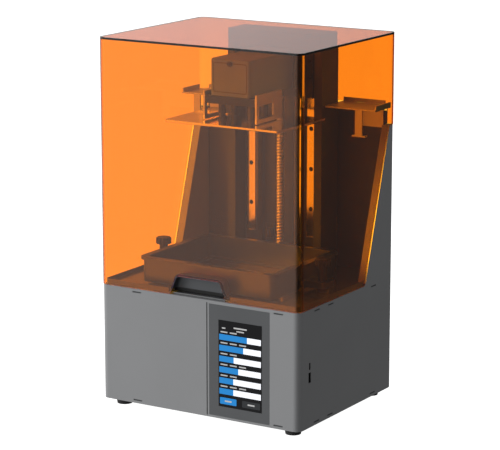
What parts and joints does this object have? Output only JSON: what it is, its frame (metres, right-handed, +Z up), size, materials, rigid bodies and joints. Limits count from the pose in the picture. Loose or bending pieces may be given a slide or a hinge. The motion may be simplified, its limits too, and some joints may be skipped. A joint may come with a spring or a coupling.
{
  "type": "resin printer",
  "caption": "Desktop resin printer: grey sheet-metal base with a touchscreen, vat on an exposure screen, arm on a rail column, under a hinged orange lid.",
  "frame": {"origin": "centre of the footprint, on the surface that the feet stand on", "axes": "+X to the printer's right, +Y to its back, +Z up; the front faces -Y"},
  "size_m": [0.294, 0.24, 0.475],
  "materials": {
    "grey_paint": "satin powder coat",
    "dark_paint": "satin powder coat",
    "black_paint": "satin",
    "rubber": "matte",
    "steel": "ground",
    "black_steel": "black oxide",
    "screen_glass": "polished black",
    "dark_plastic": "matte",
    "black_plastic": "matte",
    "panel_plastic": "fine matte",
    "cover_plastic": "satin",
    "clear_plastic": "clear",
    "circuit_board": "satin",
    "light_chip": "gloss",
    "aluminium": "satin anodised",
    "bare_metal": "bright sheet",
    "vat_metal": "grey anodised",
    "knob_metal": "dark anodised",
    "orange_acrylic": "clear tinted acrylic"
  },
  "bodies": {
    "printer_base": {"base_shell": "grey_paint", "left_upright": "dark_paint", "right_upright": "dark_paint", "base_pan": "dark_paint", "rear_panel": "dark_paint", "rubber_feet": "rubber", "foot_screws": "steel", "deck_plate": "dark_paint", "exposure_screen": "screen_glass", "light_box": "dark_plastic", "lens_array": "clear_plastic", "led_board": "circuit_board", "led_chips": "light_chip", "heat_sink": "aluminium", "lamp_fan_frame": "black_plastic", "exhaust_fan_frame": "black_plastic", "screen_surround": "panel_plastic", "touchscreen_glass": "screen_glass", "display_module": "circuit_board", "usb_a_socket": "steel", "usb_c_socket": "steel", "power_inlet": "black_plastic", "switch_housing": "black_plastic", "mainboard": "circuit_board", "mainboard_parts": "black_plastic", "power_supply": "bare_metal", "column_cover": "dark_paint", "column_spine": "aluminium", "linear_rails": "steel", "rail_screws": "black_steel", "lower_bearing_block": "aluminium", "upper_bearing_block": "aluminium", "z_motor": "black_paint", "limit_sensor": "circuit_board", "hinge_leaves": "bare_metal"},
    "screw_drive": {"ball_screw": "steel", "shaft_coupler": "aluminium", "motor_shaft": "steel"},
    "carriage": {"carriage_blocks": "steel", "carriage_plate": "aluminium", "carriage_screws": "black_steel", "nut_bracket": "aluminium", "ball_nut": "steel", "arm_beam": "aluminium", "arm_cover": "cover_plastic"},
    "lock_screw": {"platform_lock_screw": "black_steel"},
    "platform": {"platform_bracket": "aluminium", "levelling_posts": "steel", "build_plate": "aluminium"},
    "vat": {"vat_frame": "vat_metal", "release_film": "clear_plastic", "film_clamp": "steel"},
    "left_knob": {"left_vat_knob": "knob_metal"},
    "right_knob": {"right_vat_knob": "knob_metal"},
    "lamp_fan": {"lamp_fan_rotor": "black_plastic"},
    "exhaust_fan": {"exhaust_fan_rotor": "black_plastic"},
    "rocker": {"switch_rocker": "black_plastic"},
    "lid": {"lid_shell": "orange_acrylic", "left_hinge_plate": "bare_metal", "right_hinge_plate": "bare_metal"}
  },
  "joints": [
    {"name": "lid_hinge", "type": "hinge", "parent": "printer_base", "child": "lid", "pos_m": [0, 0.1165, 0.377], "axis": [-1, 0, 0], "range_deg": [0, 88]},
    {"name": "z_lift", "type": "slide", "parent": "printer_base", "child": "carriage", "axis": [0, 0, 1], "range_m": [-0.2, 0]},
    {"name": "screw_spin", "type": "hinge", "parent": "printer_base", "child": "screw_drive", "pos_m": [0, 0.08, 0.3], "axis": [0, 0, 1], "range_deg": [-18000, 0]},
    {"name": "platform_release", "type": "slide", "parent": "carriage", "child": "platform", "axis": [0, 0, -1], "range_m": [0, 0.045]},
    {"name": "platform_lock_turn", "type": "hinge", "parent": "carriage", "child": "lock_screw", "pos_m": [0, -0.0424, 0.4425], "axis": [0, -1, 0], "range_deg": [0, 1080]},
    {"name": "vat_lift", "type": "slide", "parent": "printer_base", "child": "vat", "axis": [0, 0, 1], "range_m": [0, 0.05]},
    {"name": "left_knob_turn", "type": "hinge", "parent": "vat", "child": "left_knob", "pos_m": [-0.118, -0.017, 0.19], "axis": [0, 0, 1], "range_deg": [0, 1440]},
    {"name": "right_knob_turn", "type": "hinge", "parent": "vat", "child": "right_knob", "pos_m": [0.118, -0.017, 0.19], "axis": [0, 0, 1], "range_deg": [0, 1440]},
    {"name": "lamp_fan_spin", "type": "hinge", "parent": "printer_base", "child": "lamp_fan", "pos_m": [0, -0.0085, 0.03], "axis": [0, 0, 1], "continuous": true},
    {"name": "exhaust_fan_spin", "type": "hinge", "parent": "printer_base", "child": "exhaust_fan", "pos_m": [-0.082, 0.108, 0.092], "axis": [0, 1, 0], "continuous": true},
    {"name": "power_rocker", "type": "hinge", "parent": "printer_base", "child": "rocker", "pos_m": [0.098, 0.1129, 0.086], "axis": [-1, 0, 0], "range_deg": [0, 20]}
  ],
  "couplings": [
    {"joint": "screw_spin", "follows": "z_lift", "rad_per_m": 1570.8}
  ]
}
